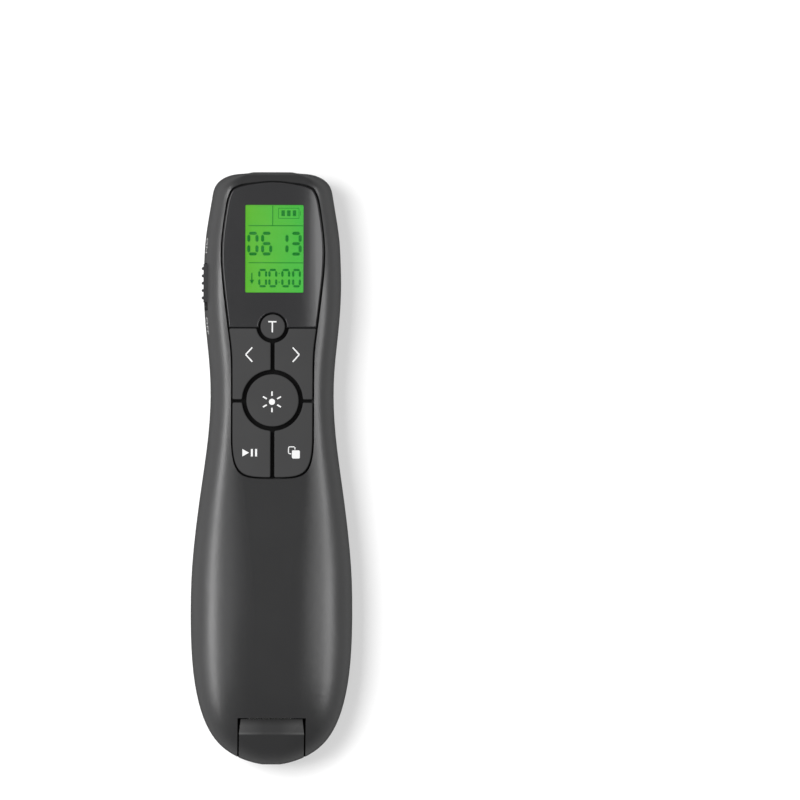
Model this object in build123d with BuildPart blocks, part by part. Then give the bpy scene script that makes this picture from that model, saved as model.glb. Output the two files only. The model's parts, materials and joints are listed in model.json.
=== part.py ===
from build123d import *
from math import radians, sin, sqrt
import os

os.makedirs("parts", exist_ok=True)

# Wireless presentation clicker: hourglass remote with a display, six keys, a side power slide,
# a laser in the nose and a USB receiver parked in the tail.
# Frame: origin under the middle of the body on the resting plane, +Z towards the keys, +Y to the nose.

# ---- driving dimensions of the body form (mm) ----
NOSE_Y = 72.6           # front of the nose
TAIL_Y = -72.6          # end of the tail
PALM_Y = -33.6          # widest station
PALM_HALF = 19.8        # half-width there
HEAD_HALF = 16.85       # half-width at the power slide
WAIST_HALF = 15.1       # half-width at the laser key
TAIL_POWER = 2.75       # superellipse power of the tail in plan
TAIL_POINT = 0.6        # loss of that power at the tail's end
TAIL_LATENESS = 12      # how late towards the end that loss sets in
BELT_Z = 11.0           # parting plane of the two shells
CROWN_Z = 22.6          # top of the body along the key panel
PALM_CROWN_Z = 25.2     # top of the palm swell
BELLY_Z = -0.8          # lowest line of the belly before its resting flat is cut
WAIST_ARCH = 2.3        # height of the finger arch under the waist
WALL = 1.8              # shell wall
HOLLOW_REAR, HOLLOW_FRONT = -60.0, 66.5

# ---- driving dimensions of the key panel ----
GROOVE = 0.4            # dark groove round the panel
TRAY_TOP = 19.6         # floor that the keys hover over
TRAY_THICK = 1.2
SPLIT_Y = 34.45         # seam between the display cover and the keys
PANEL_RISE = 0.15       # key tops above the body crown
PANEL_RADIUS = 80.0     # crowning of the panel across its width
KEY_GAP = 0.95          # gap between left and right keys
CROSS_GAP = 0.76        # gap between the arrow keys and the lower keys
TIMER_GAP = 0.95        # gap under the timer key
TIMER_RING = 0.4        # gap between the timer key and the display cover
SEAM_HALF = 0.1         # half of the seam beside the display cover
KEY_TRAVEL = 0.4
KEY_BASE = TRAY_TOP + KEY_TRAVEL + 0.2  # underside of a released key
KEY_CORNER = 0.4
STEM_RADIUS = 1.3
KEY_ROUND = 0.3
BEZEL_ROUND = 0.4
TIMER_POS = (0.0, 34.8)
TIMER_RADIUS = 3.0
LASER_POS = (0.0, 16.75)
LASER_RADIUS = 6.4
LASER_GAP = 1.05
CROSS_Y = 16.6          # seam between the arrow keys and the lower keys
ARROW_STEM = (5.9, 27.6)
LOWER_STEM = (5.6, 5.2)

# ---- display ----
WINDOW_WIDTH, WINDOW_LENGTH = 14.2, 21.4
WINDOW_X, WINDOW_Y = 0.35, 53.85
PANE_GAP = 0.1          # air between the pane and the display glass
STACK_WIDTH, STACK_LENGTH, STACK_Y = 16.0, 24.8, 53.7
GLASS_Z, GLASS_THICK = 18.2, 2.0
BACKLIGHT_THICK = 2.0
FRAME_WALL = 1.0

# ---- board ----
PCB_Z, PCB_THICK = 12.0, 1.2
PCB_REAR, PCB_FRONT = 2.0, 55.0
TACT_SIZE, TACT_HEIGHT = 6.0, 2.5
PLUNGER_RADIUS, PLUNGER_RISE, PLUNGER_DEPTH = 1.6, 0.7, 0.5

# ---- battery bay ----
CELL_RADIUS, CELL_LENGTH = 5.25, 43.7
NUB_RADIUS, NUB_LENGTH = 1.9, 0.8
CELL_X, CELL_Z = 5.4, 8.3
SPRING_LENGTH = 2.7
CONTACT_THICK = 0.4
BAY_FRONT = 0.6
BAY_GAP = 0.15
BAY_WALL = 1.2

# ---- battery door ----
DOOR_TOP = 2.4
SEAM = 0.15             # clearance of the door's seams
DOOR_TRAVEL = 6.0
HOOK_X, HOOK_THICK, HOOK_LENGTH = 12.2, 0.8, 5.0
HOOK_RISE, LIP_THICK = 2.0, 0.8
HOOK_PLACES = (-8.0, -34.0)
GRIP_COUNT, GRIP_PITCH, GRIP_Y = 5, 2.0, -14.0
FLOOR_TOP = 5.0         # top of the thick floor beside the battery bay

# ---- power slide ----
KNOB_Y, KNOB_LENGTH = 45.4, 9.4
KNOB_Z, KNOB_HEIGHT = 14.2, 3.8
KNOB_TRAVEL = 1.8
KNOB_FACE = HEAD_HALF + 0.05
RIB_RISE, RIB_WIDTH, RIB_PITCH, RIB_COUNT = 0.45, 0.75, 1.8, 5

# ---- laser ----
BARREL_RADIUS, BARREL_BORE = 3.5, 2.9
BARREL_REAR, BARREL_FRONT = 57.0, 69.2
LASER_WINDOW_RADIUS = 3.1
APERTURE_RADIUS = 2.3

# ---- vibration motor ----
MOTOR_Y, MOTOR_Z, MOTOR_RADIUS, MOTOR_LENGTH = 24.0, 7.7, 3.0, 9.0

# ---- receiver ----
SLOT_WIDTH = 16.7
RECEIVER_WIDTH = 15.9
RECEIVER_FRONT = -61.25
RECEIVER_BASE = 10.3
RECEIVER_SPLIT = 14.0
CREST_Y = -64.8
GRIP_RISE = 1.0         # rise of the thumb flat from the crest to its front
GRIP_TAPER = 0.4        # narrowing of the thumb flat to its front
PLUG_WIDTH, PLUG_HEIGHT, PLUG_LENGTH, PLUG_Z = 12.0, 4.5, 11.7, 14.0
PLUG_SKIN = 0.3
GARAGE_FRONT = -48.9
FIT = 0.2               # clearance of the parked plug and of other close fits

# ---- screws ----
FRONT_SCREW = (10.8, 60.0)
REAR_SCREW = (10.3, -51.6)
SCREW_RADIUS, HEAD_RADIUS, HEAD_HEIGHT = 1.0, 1.9, 1.5
POST_RADIUS = 2.5
SCREW_TIP = 16.0
BOARD_SCREWS = ((9.8, 22.0), (10.9, 53.0))
BOARD_POST_RADIUS = 1.6
BOARD_SCREW_RADIUS, BOARD_SCREW_TIP = 0.8, 17.4
BOARD_HEAD_RADIUS, BOARD_HEAD_HEIGHT = 1.5, 1.0


def save(piece, name):
    piece.part.label = name
    export_step(piece.part, f"parts/{name}.step")


# ---- body form: stations from nose to tail ----
# Each row: Y, half-width, crown height, belly height, half-width of the flat top.
STATIONS = [
    (NOSE_Y, 5.0, CROWN_Z - 2.6, 3.6, 3.2),
    (NOSE_Y - 0.4, 8.4, CROWN_Z - 1.4, 2.6, 5.4),
    (NOSE_Y - 1.1, 11.3, CROWN_Z - 0.7, 1.7, 7.0),
    (NOSE_Y - 2.9, 13.7, CROWN_Z - 0.15, 0.5, 8.2),
    (NOSE_Y - 6.5, HEAD_HALF - 2.0, CROWN_Z, -0.2, 8.9),
    (61.0, HEAD_HALF - 1.15, CROWN_Z, -0.3, 9.2),
    (56.0, HEAD_HALF - 0.45, CROWN_Z, -0.4, 9.4),
    (50.5, HEAD_HALF - 0.12, CROWN_Z, -0.4, 9.4),
    (45.0, HEAD_HALF, CROWN_Z, -0.4, 9.4),
    (34.0, HEAD_HALF - 0.6, CROWN_Z, 0.5, 8.8),
    (25.0, WAIST_HALF + 0.25, CROWN_Z, WAIST_ARCH - 0.4, 8.0),
    (16.6, WAIST_HALF, CROWN_Z, WAIST_ARCH, 8.0),
    (6.0, WAIST_HALF + 0.75, CROWN_Z, 1.5, 7.8),
    (-5.0, WAIST_HALF + 2.25, PALM_CROWN_Z - 2.2, 0.3, 7.0),
    (-16.0, PALM_HALF - 1.05, PALM_CROWN_Z - 1.2, -0.5, 5.8),
    (-26.0, PALM_HALF - 0.2, PALM_CROWN_Z - 0.3, BELLY_Z, 4.8),
    (PALM_Y, PALM_HALF, PALM_CROWN_Z, BELLY_Z, 4.4),
]
for angle in (14, 26, 38, 50, 61, 71, 79, 85):
    reach = sin(radians(angle))
    power = TAIL_POWER - TAIL_POINT * reach ** TAIL_LATENESS
    plan = (1 - reach ** power) ** (1 / power)
    side = sqrt(1 - reach ** 2)
    STATIONS.append((
        PALM_Y + (TAIL_Y - PALM_Y) * reach, PALM_HALF * plan,
        BELT_Z + (PALM_CROWN_Z - BELT_Z) * side, BELT_Z + (BELLY_Z - BELT_Z) * side, 4.4 * plan,
    ))
ARC = 0.5523            # handle length of a quarter ellipse drawn as a cubic curve


def form_half(upper, inset=0.0, rear=TAIL_Y, front=NOSE_Y):
    """Half of the body form above or below the belt, shrunk by inset, between two stations."""
    with BuildPart() as half:
        for y, width, crown, belly, flat in STATIONS:
            if not rear <= y <= front:
                continue
            w = width - inset
            h = (crown - BELT_Z if upper else belly - BELT_Z)
            h += -inset if upper else inset
            f = min(flat, 0.7 * w)
            with BuildSketch(Plane(origin=(0, y, BELT_Z), x_dir=(1, 0, 0), z_dir=(0, -1, 0))):
                with BuildLine():
                    Bezier((w, 0), (w, h * ARC), (f + (w - f) * ARC, h), (f, h))
                    Line((f, h), (-f, h))
                    Bezier((-f, h), (-f - (w - f) * ARC, h), (-w, h * ARC), (-w, 0))
                    Line((-w, 0), (w, 0))
                make_face()
        loft()
    return half.part


UPPER_FORM = form_half(True)
LOWER_FORM = form_half(False)
UPPER_CORE = form_half(True, WALL / 2)
UPPER_HOLLOW = form_half(True, WALL, HOLLOW_REAR, HOLLOW_FRONT)
LOWER_HOLLOW = form_half(False, WALL, HOLLOW_REAR, HOLLOW_FRONT)

with BuildPart() as crown_cylinder:
    with BuildSketch(Plane.XZ.offset(-100)):
        with Locations((0, CROWN_Z + PANEL_RISE - PANEL_RADIUS)):
            Circle(PANEL_RADIUS)
    extrude(amount=200)
PANEL_CROWN = crown_cylinder.part


def panel_outline(inset):
    """Closed outline of the key and display panel, shrunk by inset."""
    i = inset
    with BuildSketch() as outline:
        with BuildLine():
            Spline(
                (0, 70.3 - i), (5.2, 69.85 - i), (8.6 - i * 0.5, 69.15 - i), (10.1 - i, 68.2 - i * 0.5),
                tangents=[(1, 0), (1, -1.4)],
            )
            Spline(
                (10.1 - i, 68.2 - i * 0.5), (11.5 - i, 63.7), (12.6 - i, 54.1), (12.05 - i, 44.0),
                (10.55 - i, 32.0), (10.0 - i, CROSS_Y), tangents=[(1, -1.4), (0, -1)],
            )
            Line((10.0 - i, CROSS_Y), (10.0 - i, 8.0))
            Bezier((10.0 - i, 8.0), (10.0 - i, -2.3 + i), (7.4 - i, -2.3 + i), (0, -2.3 + i))
            Line((0, -2.3 + i), (0, 70.3 - i))
        make_face()
        mirror(about=Plane.YZ)
    return outline.sketch


def post(places, radius, bottom, top, mode=Mode.ADD):
    """Upright round posts or holes at (x, y) places, for use inside a BuildPart."""
    with Locations(*[(x, y, bottom) for x, y in places]):
        Cylinder(radius, top - bottom, align=(Align.CENTER, Align.CENTER, Align.MIN), mode=mode)


def block(x, y, z, mode=Mode.ADD):
    """A straight block from its (low, high) pairs, for use inside a BuildPart."""
    with Locations((x[0], y[0], z[0])):
        Box(x[1] - x[0], y[1] - y[0], z[1] - z[0], align=(Align.MIN, Align.MIN, Align.MIN), mode=mode)


def rod(place, radius, rear, front, mode=Mode.ADD):
    """A round rod or bore along Y at an (x, z) place, for use inside a BuildPart."""
    with Locations((place[0], (rear + front) / 2, place[1])):
        Cylinder(radius, front - rear, rotation=(90, 0, 0), mode=mode)


# ---- places shared by several pieces ----
STEMS = {
    "timer": TIMER_POS,
    "back": (-ARROW_STEM[0], ARROW_STEM[1]),
    "next": ARROW_STEM,
    "laser": LASER_POS,
    "play": (-LOWER_STEM[0], LOWER_STEM[1]),
    "blank": LOWER_STEM,
}
FRONT_SCREWS = [(side * FRONT_SCREW[0], FRONT_SCREW[1]) for side in (1, -1)]
REAR_SCREWS = [(side * REAR_SCREW[0], REAR_SCREW[1]) for side in (1, -1)]
PCB_SCREWS = [(side * x, y) for x, y in BOARD_SCREWS for side in (1, -1)]
PCB_TOP = PCB_Z + PCB_THICK
PLUNGER_TOP = PCB_TOP + TACT_HEIGHT + PLUNGER_RISE
CEILING = TRAY_TOP - TRAY_THICK
CAP = 40.0              # a height above everything
FRAME_SIZE = (STACK_WIDTH + 2 * FRAME_WALL, STACK_LENGTH + 2 * FRAME_WALL)
FRAME_FLOOR = GLASS_Z - BACKLIGHT_THICK - 0.1
FRAME_BASE = FRAME_FLOOR - 0.6
FRAME_TOP = GLASS_Z + GLASS_THICK + FIT
LCD_HOLE = (FRAME_SIZE[0] + 3 * FIT, FRAME_SIZE[1] + 3 * FIT)
PANE_BASE = GLASS_Z + GLASS_THICK + PANE_GAP
PANE_EDGE = WINDOW_WIDTH / 2 + WINDOW_X
WINDOW_TOP = CROWN_Z + PANEL_RISE - PANEL_RADIUS + sqrt(PANEL_RADIUS ** 2 - PANE_EDGE ** 2)
SLOT_LENGTH = KNOB_LENGTH + KNOB_TRAVEL + 2 * FIT
SLOT_Y = KNOB_Y - KNOB_TRAVEL / 2
FLANGE_FACE = -KNOB_FACE + WALL + 0.3
BAY_REAR = BAY_FRONT - NUB_LENGTH - CELL_LENGTH - SPRING_LENGTH - 2 * CONTACT_THICK - BAY_GAP
BAY_HALF = CELL_X + CELL_RADIUS + BAY_GAP
BAY_TOP = CELL_Z + CELL_RADIUS + BAY_GAP
FLOOR_BASE = DOOR_TOP + SEAM
FRONT_SEAT = HEAD_HEIGHT + 1.7
REAR_SEAT = FLOOR_BASE + HEAD_HEIGHT + 0.5
PLUG_TOP = PLUG_Z + PLUG_HEIGHT / 2
GARAGE_TOP = PLUG_TOP + FIT + BAY_WALL
GARAGE_HALF = PLUG_WIDTH / 2 + FIT + BAY_WALL
SLOT_FRONT = RECEIVER_FRONT + FIT
LASER_AXIS = (0, BELT_Z)
MOTOR_AXIS = (0, MOTOR_Z)
DOOR_FRONT = BAY_FRONT + 0.8

# ---- upper shell ----
with BuildPart() as upper_hollow:
    add(UPPER_HOLLOW)
    with BuildSketch(Plane.XY.offset(CEILING)):
        add(panel_outline(-WALL))
    extrude(amount=CAP - CEILING, mode=Mode.SUBTRACT)

with BuildPart() as upper_posts:
    post(FRONT_SCREWS + REAR_SCREWS, POST_RADIUS, BELT_Z, CAP)
    post(PCB_SCREWS, BOARD_POST_RADIUS, PCB_TOP, CAP)
    block((-GARAGE_HALF, GARAGE_HALF), (SLOT_FRONT, GARAGE_FRONT), (BELT_Z, GARAGE_TOP))
    add(UPPER_CORE, mode=Mode.INTERSECT)
    block((-GARAGE_HALF, GARAGE_HALF), (SLOT_FRONT, GARAGE_FRONT), (RECEIVER_BASE, GARAGE_TOP))

with BuildPart() as upper_shell:
    add(UPPER_FORM)
    add(upper_hollow.part, mode=Mode.SUBTRACT)
    add(upper_posts.part)
    # recess of the panel, with holes for the display and the key stems in its floor
    with BuildSketch(Plane.XY.offset(TRAY_TOP)):
        add(panel_outline(-GROOVE / 2))
    extrude(amount=CAP - TRAY_TOP, mode=Mode.SUBTRACT)
    post(list(STEMS.values()), STEM_RADIUS + FIT, CEILING, TRAY_TOP, mode=Mode.SUBTRACT)
    with BuildSketch(Plane.XY.offset(FRAME_BASE - FIT)):
        with Locations((0, STACK_Y)):
            Rectangle(*LCD_HOLE)
    extrude(amount=TRAY_TOP - FRAME_BASE + FIT, mode=Mode.SUBTRACT)
    # open slot of the receiver, and the pocket of its plug
    block((-SLOT_WIDTH / 2, SLOT_WIDTH / 2), (TAIL_Y - 1, SLOT_FRONT), (0, CAP), mode=Mode.SUBTRACT)
    block((-PLUG_WIDTH / 2 - FIT, PLUG_WIDTH / 2 + FIT), (SLOT_FRONT - 1, SLOT_FRONT + PLUG_LENGTH),
          (PLUG_Z - PLUG_HEIGHT / 2 - FIT, PLUG_TOP + FIT), mode=Mode.SUBTRACT)
    # slot of the power slide, with a pocket for its flange inside the wall
    with BuildSketch(Plane.YZ.offset(-PALM_HALF)):
        with Locations((SLOT_Y, KNOB_Z)):
            RectangleRounded(SLOT_LENGTH, KNOB_HEIGHT + 2 * FIT, 0.6)
    extrude(amount=PALM_HALF / 2, mode=Mode.SUBTRACT)
    with BuildSketch(Plane.YZ.offset(FLANGE_FACE)):
        with Locations((SLOT_Y, KNOB_Z)):
            Rectangle(SLOT_LENGTH + 2.4, KNOB_HEIGHT + 1.6)
    extrude(amount=2, mode=Mode.SUBTRACT)
    # laser aperture and seat in the nose
    rod(LASER_AXIS, APERTURE_RADIUS, HOLLOW_FRONT - 2, NOSE_Y + 1, mode=Mode.SUBTRACT)
    rod(LASER_AXIS, BARREL_RADIUS + FIT / 2, HOLLOW_FRONT - 2, BARREL_FRONT + 1.6, mode=Mode.SUBTRACT)
    # threaded holes
    post(FRONT_SCREWS + REAR_SCREWS, SCREW_RADIUS + 0.05, BELT_Z - 1, SCREW_TIP + 0.6, mode=Mode.SUBTRACT)
    post(PCB_SCREWS, BOARD_SCREW_RADIUS + 0.05, PCB_TOP - 1, BOARD_SCREW_TIP + 0.4, mode=Mode.SUBTRACT)
save(upper_shell, "upper_shell")

# ---- lower shell ----
with BuildPart() as lower_hollow:
    add(LOWER_HOLLOW)
    block((-CAP, CAP), (TAIL_Y, BAY_FRONT + BAY_WALL), (-5, FLOOR_TOP), mode=Mode.SUBTRACT)

with BuildPart() as lower_shell:
    add(LOWER_FORM)
    block((-CAP, CAP), (-CAP * 2, CAP * 2), (-5, 0), mode=Mode.SUBTRACT)
    add(lower_hollow.part, mode=Mode.SUBTRACT)
    # tub of the battery bay
    block((-BAY_HALF - BAY_WALL, BAY_HALF + BAY_WALL), (BAY_REAR - BAY_WALL, BAY_FRONT + BAY_WALL),
          (FLOOR_BASE, BAY_TOP + BAY_WALL))
    block((-BAY_HALF, BAY_HALF), (BAY_REAR, BAY_FRONT), (0, BAY_TOP), mode=Mode.SUBTRACT)
    # room for the battery door and its hooks
    block((-CAP, CAP), (TAIL_Y - 1, DOOR_FRONT + SEAM), (-5, FLOOR_BASE), mode=Mode.SUBTRACT)
    for side in (1, -1):
        for place in HOOK_PLACES:
            inner = side * (HOOK_X - SEAM)
            stem_side = side * (HOOK_X + HOOK_THICK + SEAM)
            lip_side = side * (HOOK_X + 2 * HOOK_THICK + SEAM)
            rear = place - HOOK_LENGTH - DOOR_TRAVEL - SEAM
            top = DOOR_TOP + HOOK_RISE + SEAM
            block(sorted((inner, stem_side)), (rear, place + SEAM), (0, top), mode=Mode.SUBTRACT)
            block(sorted((inner, lip_side)), (rear, place + SEAM), (top - LIP_THICK - 2 * SEAM, top),
                  mode=Mode.SUBTRACT)
            block(sorted((inner, lip_side)), (rear, place - DOOR_TRAVEL + SEAM), (0, top), mode=Mode.SUBTRACT)
    # screw posts with counterbored heads
    post(FRONT_SCREWS, POST_RADIUS, 1.0, BELT_Z)
    post(REAR_SCREWS, POST_RADIUS, FLOOR_BASE, BELT_Z)
    post(FRONT_SCREWS, HEAD_RADIUS + FIT, -1, FRONT_SEAT, mode=Mode.SUBTRACT)
    post(REAR_SCREWS, HEAD_RADIUS + FIT, 0, REAR_SEAT, mode=Mode.SUBTRACT)
    post(FRONT_SCREWS + REAR_SCREWS, SCREW_RADIUS + FIT, 0, BELT_Z + 1, mode=Mode.SUBTRACT)
    # saddles of the vibration motor and of the laser barrel
    block((-4, 4), (MOTOR_Y + 2, MOTOR_Y + 7), (2, MOTOR_Z))
    rod(MOTOR_AXIS, MOTOR_RADIUS + FIT / 2, MOTOR_Y - 1, MOTOR_Y + MOTOR_LENGTH + 1, mode=Mode.SUBTRACT)
    block((-4.8, 4.8), (BARREL_REAR + 2, BARREL_REAR + 4), (1, BELT_Z))
    rod(LASER_AXIS, APERTURE_RADIUS, HOLLOW_FRONT - 2, NOSE_Y + 1, mode=Mode.SUBTRACT)
    rod(LASER_AXIS, BARREL_RADIUS + FIT / 2, BARREL_REAR - 1, BARREL_FRONT + 1.6, mode=Mode.SUBTRACT)
    # room for the garage and the open receiver slot
    block((-GARAGE_HALF - FIT, GARAGE_HALF + FIT), (SLOT_FRONT - FIT, GARAGE_FRONT + FIT),
          (RECEIVER_BASE - FIT, BELT_Z), mode=Mode.SUBTRACT)
    block((-SLOT_WIDTH / 2, SLOT_WIDTH / 2), (TAIL_Y - 1, SLOT_FRONT), (RECEIVER_BASE - FIT, BELT_Z),
          mode=Mode.SUBTRACT)
save(lower_shell, "lower_shell")

# ---- battery door ----
with BuildPart() as battery_door:
    add(LOWER_FORM)
    block((-CAP, CAP), (TAIL_Y - 1, DOOR_FRONT), (0, DOOR_TOP), mode=Mode.INTERSECT)
    for side in (1, -1):
        for place in HOOK_PLACES:
            reach = (place - HOOK_LENGTH, place)
            hook_top = DOOR_TOP + HOOK_RISE
            block(sorted((side * HOOK_X, side * (HOOK_X + HOOK_THICK))), reach, (DOOR_TOP - 0.2, hook_top))
            block(sorted((side * HOOK_X, side * (HOOK_X + 2 * HOOK_THICK))), reach,
                  (hook_top - LIP_THICK, hook_top))
    with BuildSketch(Plane.XY):
        with Locations((0, GRIP_Y)):
            with GridLocations(1, GRIP_PITCH, 1, GRIP_COUNT):
                SlotOverall(14, 0.9)
    extrude(amount=0.5, mode=Mode.SUBTRACT)
save(battery_door, "battery_door")


# ---- keys ----
def key(name, sketch, twin=None):
    """A crowned key on its stem with its plunger, and the mirrored twin of the left side."""
    with BuildPart() as cap:
        with BuildSketch(Plane.XY.offset(KEY_BASE)):
            add(sketch)
        extrude(amount=CAP - KEY_BASE)
        add(PANEL_CROWN, mode=Mode.INTERSECT)
        fillet(cap.faces().sort_by(Axis.Z)[-1].edges(), KEY_ROUND)
        post([STEMS[name]], STEM_RADIUS, PLUNGER_TOP, KEY_BASE + 0.5)
    save(cap, f"{name}_key")
    with BuildPart() as plunger:
        post([STEMS[name]], PLUNGER_RADIUS, PLUNGER_TOP - PLUNGER_RISE - PLUNGER_DEPTH, PLUNGER_TOP)
    save(plunger, f"{name}_plunger")
    if twin:
        with BuildPart() as left_cap:
            mirror(cap.part, about=Plane.YZ)
        save(left_cap, f"{twin}_key")
        with BuildPart() as left_plunger:
            mirror(plunger.part, about=Plane.YZ)
        save(left_plunger, f"{twin}_plunger")


with BuildSketch() as timer_shape:
    with Locations(TIMER_POS):
        Circle(TIMER_RADIUS)
with BuildSketch() as laser_shape:
    with Locations(LASER_POS):
        Circle(LASER_RADIUS)


def quarter(low, high):
    """The part of the panel between two seams, right of the middle gap."""
    with BuildSketch() as shape:
        add(panel_outline(GROOVE / 2))
        with Locations(((KEY_GAP + PALM_HALF) / 2, (low + high) / 2)):
            Rectangle(PALM_HALF, high - low, mode=Mode.INTERSECT)
        with Locations(TIMER_POS):
            Circle(TIMER_RADIUS + TIMER_GAP, mode=Mode.SUBTRACT)
        with Locations(LASER_POS):
            Circle(LASER_RADIUS + LASER_GAP, mode=Mode.SUBTRACT)
        fillet(shape.vertices(), KEY_CORNER)
    return shape.sketch


key("timer", timer_shape.sketch)
key("laser", laser_shape.sketch)
key("next", quarter(CROSS_Y + CROSS_GAP / 2, SPLIT_Y - SEAM_HALF), twin="back")
key("blank", quarter(-10, CROSS_Y - CROSS_GAP / 2), twin="play")

# ---- display cover, window and liquid-crystal stack ----
with BuildPart() as display_bezel:
    with BuildSketch(Plane.XY.offset(TRAY_TOP)):
        add(panel_outline(GROOVE / 2))
        with Locations((0, SPLIT_Y + SEAM_HALF + CAP)):
            Rectangle(CAP, CAP * 2, mode=Mode.INTERSECT)
        with Locations(TIMER_POS):
            Circle(TIMER_RADIUS + TIMER_RING, mode=Mode.SUBTRACT)
    extrude(amount=CAP - TRAY_TOP)
    add(PANEL_CROWN, mode=Mode.INTERSECT)
    with BuildSketch(Plane.XY.offset(TRAY_TOP)):
        with Locations((0, STACK_Y)):
            Rectangle(*LCD_HOLE)
    extrude(amount=FRAME_TOP + FIT - TRAY_TOP, mode=Mode.SUBTRACT)
    with BuildSketch(Plane.XY.offset(TRAY_TOP)):
        with Locations((WINDOW_X, WINDOW_Y)):
            RectangleRounded(WINDOW_WIDTH, WINDOW_LENGTH, 0.3)
    extrude(amount=CAP - TRAY_TOP, mode=Mode.SUBTRACT)
    fillet(display_bezel.faces().sort_by(Axis.Z)[-1].outer_wire().edges(), BEZEL_ROUND)
save(display_bezel, "display_bezel")

with BuildPart() as display_window:
    # a thick pane just above the display glass
    with BuildSketch(Plane.XY.offset(PANE_BASE)):
        with Locations((WINDOW_X, WINDOW_Y)):
            RectangleRounded(WINDOW_WIDTH - SEAM, WINDOW_LENGTH - SEAM, 0.25)
    extrude(amount=WINDOW_TOP - PANE_BASE)
save(display_window, "display_window")

STRIP_DEPTH = 1.6
STACK_REAR = STACK_Y - STACK_LENGTH / 2
STACK_FRONT = STACK_Y + STACK_LENGTH / 2
STACK_HALF = STACK_WIDTH / 2
with BuildPart() as lcd_glass:
    block((-STACK_HALF, STACK_HALF), (STACK_REAR, STACK_FRONT), (GLASS_Z, GLASS_Z + GLASS_THICK))
save(lcd_glass, "lcd_glass")

with BuildPart() as lcd_backlight:
    block((-STACK_HALF, STACK_HALF), (STACK_REAR + STRIP_DEPTH + 0.8, STACK_FRONT),
          (GLASS_Z - BACKLIGHT_THICK, GLASS_Z))
save(lcd_backlight, "lcd_backlight")

with BuildPart() as zebra_strip:
    block((-STACK_HALF + 0.8, STACK_HALF - 0.8), (STACK_REAR + 0.3, STACK_REAR + 0.3 + STRIP_DEPTH),
          (PCB_TOP, GLASS_Z))
save(zebra_strip, "zebra_strip")

with BuildPart() as lcd_frame:
    with BuildSketch(Plane.XY.offset(FRAME_BASE)):
        with Locations((0, STACK_Y)):
            RectangleRounded(*FRAME_SIZE, FRAME_WALL)
    extrude(amount=FRAME_TOP - FRAME_BASE)
    block((-STACK_HALF - 0.1, STACK_HALF + 0.1), (STACK_REAR - 0.1, STACK_FRONT + 0.1),
          (FRAME_FLOOR, FRAME_TOP), mode=Mode.SUBTRACT)
    block((-STACK_HALF + 0.5, STACK_HALF - 0.5), (STACK_REAR + 0.1, STACK_REAR + 0.6 + STRIP_DEPTH),
          (FRAME_BASE, FRAME_FLOOR), mode=Mode.SUBTRACT)
    with BuildSketch(Plane.XY.offset(PCB_TOP)):
        with Locations((0, STACK_REAR + 6)):
            with GridLocations(FRAME_SIZE[0] - FRAME_WALL, 10, 2, 2):
                Rectangle(FRAME_WALL, 3)
    extrude(amount=FRAME_BASE - PCB_TOP + 0.2)
save(lcd_frame, "lcd_frame")

# ---- main board ----
BOARD_HALF = FLANGE_FACE + 2.4
with BuildPart() as main_pcb:
    with BuildSketch(Plane.XY.offset(PCB_Z)):
        with Locations((0, (PCB_REAR + PCB_FRONT) / 2)):
            RectangleRounded(-2 * BOARD_HALF, PCB_FRONT - PCB_REAR, 1.5)
    extrude(amount=PCB_THICK)
    post(PCB_SCREWS, BOARD_SCREW_RADIUS + FIT, PCB_Z, PCB_TOP, mode=Mode.SUBTRACT)
save(main_pcb, "main_pcb")

with BuildPart() as tact_switches:
    with BuildSketch(Plane.XY.offset(PCB_TOP)):
        with Locations(*STEMS.values()):
            RectangleRounded(TACT_SIZE, TACT_SIZE, 0.5)
    extrude(amount=TACT_HEIGHT)
    post(list(STEMS.values()), PLUNGER_RADIUS + FIT, PCB_TOP + TACT_HEIGHT - PLUNGER_DEPTH - KEY_TRAVEL - 0.3,
         PCB_TOP + TACT_HEIGHT, mode=Mode.SUBTRACT)
save(tact_switches, "tact_switches")

with BuildPart() as microcontroller:
    block((-3.5, 3.5), (9, 16), (PCB_Z - 1.0, PCB_Z))
save(microcontroller, "microcontroller")

with BuildPart() as radio_chip:
    block((3, 7), (41, 45), (PCB_Z - 0.9, PCB_Z))
save(radio_chip, "radio_chip")

with BuildPart() as crystal:
    with BuildSketch(Plane.XY.offset(PCB_Z - 1.2)):
        with Locations((5, 48.5)):
            RectangleRounded(3.2, 2.5, 0.4)
    extrude(amount=1.2)
save(crystal, "crystal")

# ---- power slide ----
with BuildPart() as slide_switch_body:
    block((BOARD_HALF, BOARD_HALF + 3.2), (SLOT_Y - 4.6, SLOT_Y + 4.6), (PCB_TOP, PCB_TOP + 3.0))
    block((BOARD_HALF, BOARD_HALF + 1.4), (SLOT_Y - 2.4, SLOT_Y + 2.4), (KNOB_Z - 0.4, KNOB_Z + 1.2),
          mode=Mode.SUBTRACT)
save(slide_switch_body, "slide_switch_body")

with BuildPart() as slide_actuator:
    block((FLANGE_FACE + 1.1, BOARD_HALF + 1.0), (KNOB_Y - 1.2, KNOB_Y + 1.2), (KNOB_Z - 0.2, KNOB_Z + 1.0))
save(slide_actuator, "slide_actuator")

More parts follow.
